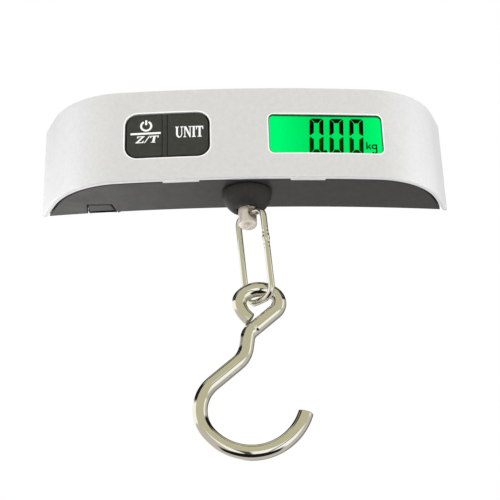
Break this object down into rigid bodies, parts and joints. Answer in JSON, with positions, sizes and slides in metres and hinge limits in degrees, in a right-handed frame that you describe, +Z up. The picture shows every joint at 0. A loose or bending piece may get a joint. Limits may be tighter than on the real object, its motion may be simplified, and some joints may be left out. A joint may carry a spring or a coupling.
{
  "type": "digital luggage scale",
  "caption": "Palm-held electronic hanging scale with a bowed handle, keys, backlit display, swivel stud, wire link and load hook.",
  "frame": {"origin": "on the load axis, where it meets the flat top face of the handle, which lies in the palm", "axes": "+X to the right along the handle, +Y from the bowed display front towards the hollow back, +Z up, so the hook hangs towards -Z"},
  "size_m": [0.1252, 0.0254, 0.1091],
  "materials": {
    "silver_cover": "satin silver paint",
    "black_shell": "fine moulded texture",
    "black_collar": "smooth moulded",
    "key_rubber": "soft matte",
    "display_lens": "clear",
    "display_glow": "lit",
    "white_plastic": "light guide",
    "circuit_board": "solder mask",
    "chip_resin": "potting resin",
    "polished_steel": "polished nickel plate",
    "stud_steel": "satin nickel plate",
    "beam_aluminium": "machined",
    "polyimide": "foil"
  },
  "bodies": {
    "handle": {"front_cover": "silver_cover", "housing_shell": "black_shell", "rear_cover": "black_shell", "stud_collar": "black_collar", "lcd_lens": "display_lens", "lcd_glass": "display_glow", "lcd_backlight": "white_plastic", "lcd_holder": "black_shell", "display_ribbon": "polyimide", "keypad_mat": "key_rubber", "main_board": "circuit_board", "converter_chip": "chip_resin", "capacitor_1": "polyimide", "capacitor_2": "polyimide", "backlight_led": "white_plastic", "load_beam": "beam_aluminium", "strain_gauge_top": "polyimide", "strain_gauge_bottom": "polyimide", "battery_tray": "black_shell", "coin_cell": "stud_steel", "cell_spring": "stud_steel", "cell_clip": "stud_steel", "case_screw_1": "stud_steel", "case_screw_2": "stud_steel", "case_screw_3": "stud_steel", "case_screw_4": "stud_steel", "board_screw_1": "stud_steel", "board_screw_2": "stud_steel", "beam_screw_1": "stud_steel", "beam_screw_2": "stud_steel"},
    "power_key": {"power_key": "key_rubber"},
    "unit_key": {"unit_key": "key_rubber"},
    "stud": {"hook_stud": "stud_steel", "stud_washer": "stud_steel", "stud_nut": "stud_steel"},
    "link": {"wire_link": "polished_steel"},
    "hook": {"load_hook": "polished_steel"},
    "door": {"battery_door": "black_shell"}
  },
  "joints": [
    {"name": "power_key_press", "type": "slide", "parent": "handle", "child": "power_key", "axis": [0.0541, 0.9985, 0], "range_m": [0, 0.0006], "stiffness_N_per_m": 800},
    {"name": "unit_key_press", "type": "slide", "parent": "handle", "child": "unit_key", "axis": [0.0541, 0.9985, 0], "range_m": [0, 0.0006], "stiffness_N_per_m": 800},
    {"name": "stud_swivel", "type": "hinge", "parent": "handle", "child": "stud", "pos_m": [0, 0, -0.02], "axis": [0, 0, 1], "continuous": true},
    {"name": "link_swing", "type": "hinge", "parent": "stud", "child": "link", "pos_m": [0, 0, -0.03625], "axis": [0.6691, -0.7431, 0], "range_deg": [-50, 50]},
    {"name": "hook_swing", "type": "hinge", "parent": "link", "child": "hook", "pos_m": [0.0027, 0, -0.0633], "axis": [0, 1, 0], "range_deg": [-25, 15]},
    {"name": "battery_door_tilt", "type": "hinge", "parent": "handle", "child": "door", "pos_m": [-0.0436, 0.0138, -0.0032], "axis": [1, 0, 0], "range_deg": [0, 75]}
  ]
}
